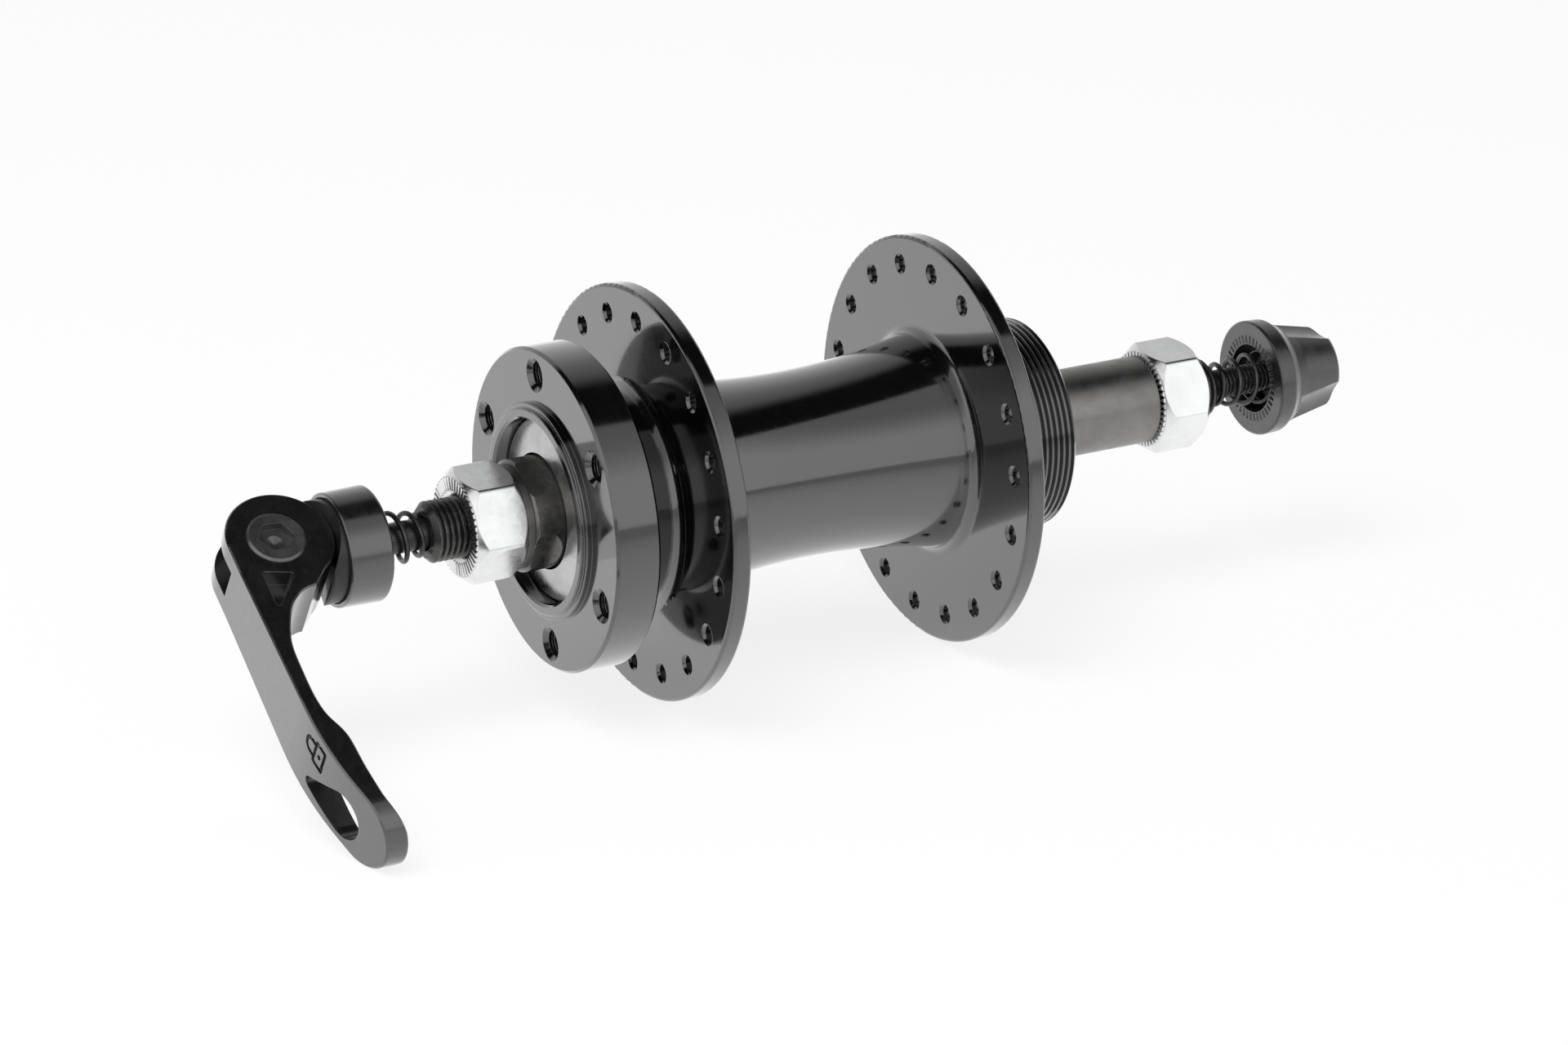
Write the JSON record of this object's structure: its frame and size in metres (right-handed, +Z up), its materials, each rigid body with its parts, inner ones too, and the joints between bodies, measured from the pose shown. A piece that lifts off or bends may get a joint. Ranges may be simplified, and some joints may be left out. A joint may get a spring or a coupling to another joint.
{
  "type": "bicycle rear hub",
  "caption": "Bicycle rear hub for a six-bolt disc brake and a screw-on freewheel, with cup and cone bearings and a quick-release skewer with a cam lever.",
  "frame": {"origin": "on the axle, halfway between the outer faces of the two locknuts", "axes": "+Y along the axle towards the brake disc and the lever, +Z up, +X towards the back as the picture shows the hub"},
  "size_m": [0.0823, 0.2015, 0.0674],
  "materials": {
    "black_anodised_alloy": "glossy black anodised",
    "black_painted_alloy": "satin black",
    "satin_black_alloy": "satin black anodised",
    "black_oxide_steel": "black oxide",
    "phosphated_steel": "phosphated, oiled",
    "dark_steel": "satin, turned",
    "zinc_plate": "bright zinc plate",
    "pressed_steel": "pressed, semi-bright",
    "bearing_steel": "ground and polished",
    "dark_screw_steel": "black oxide, machined",
    "spring_steel": "drawn wire, dark",
    "black_plastic": "moulded, satin",
    "white_nylon": "nylon"
  },
  "bodies": {
    "axle": {"axle": "black_oxide_steel", "cone_left": "phosphated_steel", "cone_right": "phosphated_steel", "washer_left": "dark_steel", "washer_right": "dark_steel", "spacer_right": "dark_steel", "locknut_left": "zinc_plate", "locknut_right": "zinc_plate"},
    "shell": {"hub_shell": "black_anodised_alloy", "bearing_cup_left": "bearing_steel", "bearing_cup_right": "bearing_steel", "dust_cap_left": "pressed_steel", "dust_cap_right": "pressed_steel"},
    "balls_left": {"bearing_balls_left": "bearing_steel"},
    "balls_right": {"bearing_balls_right": "bearing_steel"},
    "skewer_carrier": {"spring_left": "spring_steel"},
    "skewer": {"skewer_rod": "black_oxide_steel"},
    "cap": {"skewer_cap": "black_painted_alloy", "cam_bush": "black_plastic"},
    "lever": {"lever": "black_painted_alloy", "pivot_pin": "dark_screw_steel"},
    "nut_carrier": {"spring_right": "spring_steel"},
    "nut": {"adjusting_nut": "satin_black_alloy", "nut_insert": "white_nylon"}
  },
  "joints": [
    {"name": "shell_spin", "type": "hinge", "parent": "axle", "child": "shell", "pos_m": [0, 0, 0], "axis": [0, 1, 0], "continuous": true},
    {"name": "balls_left_orbit", "type": "hinge", "parent": "axle", "child": "balls_left", "pos_m": [0, 0.0445, 0], "axis": [0, 1, 0], "continuous": true},
    {"name": "balls_right_orbit", "type": "hinge", "parent": "axle", "child": "balls_right", "pos_m": [0, -0.029, 0], "axis": [0, 1, 0], "continuous": true},
    {"name": "skewer_turn", "type": "hinge", "parent": "axle", "child": "skewer_carrier", "pos_m": [0, 0, 0], "axis": [0, 1, 0], "continuous": true},
    {"name": "skewer_slide", "type": "slide", "parent": "skewer_carrier", "child": "skewer", "axis": [0, 1, 0], "range_m": [-0.004, 0.004], "stiffness_N_per_m": 400, "deforming": ["spring_left", "spring_right"]},
    {"name": "lever_pivot", "type": "hinge", "parent": "skewer", "child": "lever", "pos_m": [0, 0.0989, 0], "axis": [0.5412, 0, -0.8409], "range_deg": [0, 150]},
    {"name": "cap_travel", "type": "slide", "parent": "skewer", "child": "cap", "axis": [0, 1, 0], "range_m": [0, 0.00144], "deforming": ["spring_left"]},
    {"name": "nut_travel", "type": "slide", "parent": "skewer", "child": "nut_carrier", "axis": [0, 1, 0], "range_m": [-0.004, 0.004], "deforming": ["spring_right"]},
    {"name": "nut_turn", "type": "hinge", "parent": "nut_carrier", "child": "nut", "pos_m": [0, -0.0878, 0], "axis": [0, 1, 0], "range_deg": [-1800, 1800]}
  ],
  "couplings": [
    {"joint": "balls_left_orbit", "follows": "shell_spin", "ratio": 0.6123},
    {"joint": "balls_right_orbit", "follows": "shell_spin", "ratio": 0.6123},
    {"joint": "lever_pivot", "follows": "cap_travel", "rad_per_m": 1818},
    {"joint": "nut_turn", "follows": "nut_travel", "rad_per_m": 7854}
  ]
}
